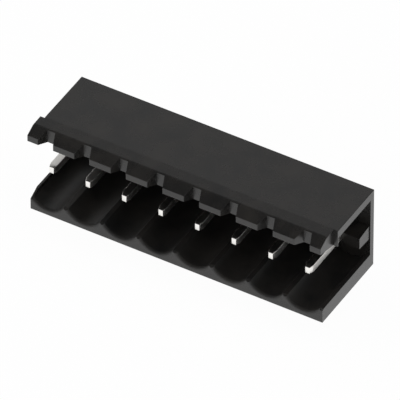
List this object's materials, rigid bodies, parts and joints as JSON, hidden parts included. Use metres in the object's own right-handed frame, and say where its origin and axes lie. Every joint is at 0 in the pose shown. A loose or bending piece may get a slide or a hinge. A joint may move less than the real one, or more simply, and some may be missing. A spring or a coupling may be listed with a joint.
{
  "type": "circuit board header",
  "caption": "Right-angle circuit board header: a black moulded housing, open at both ends, with a scalloped floor, a toothed latching lip and a row of bent tinned pins.",
  "frame": {"origin": "on the board face under the housing, at the middle of the pin row and the middle of the housing's depth", "axes": "+X along the pin row, -Y towards the plug side, +Z away from the board"},
  "size_m": [0.0412, 0.0142, 0.0154],
  "materials": {
    "housing_plastic": "black moulded thermoplastic, semi-matt",
    "pin_metal": "tin-plated copper alloy, bright silver"
  },
  "bodies": {
    "root": {"housing": "housing_plastic", "pin_1": "pin_metal", "pin_2": "pin_metal", "pin_3": "pin_metal", "pin_4": "pin_metal", "pin_5": "pin_metal", "pin_6": "pin_metal", "pin_7": "pin_metal", "pin_8": "pin_metal"}
  },
  "joints": []
}
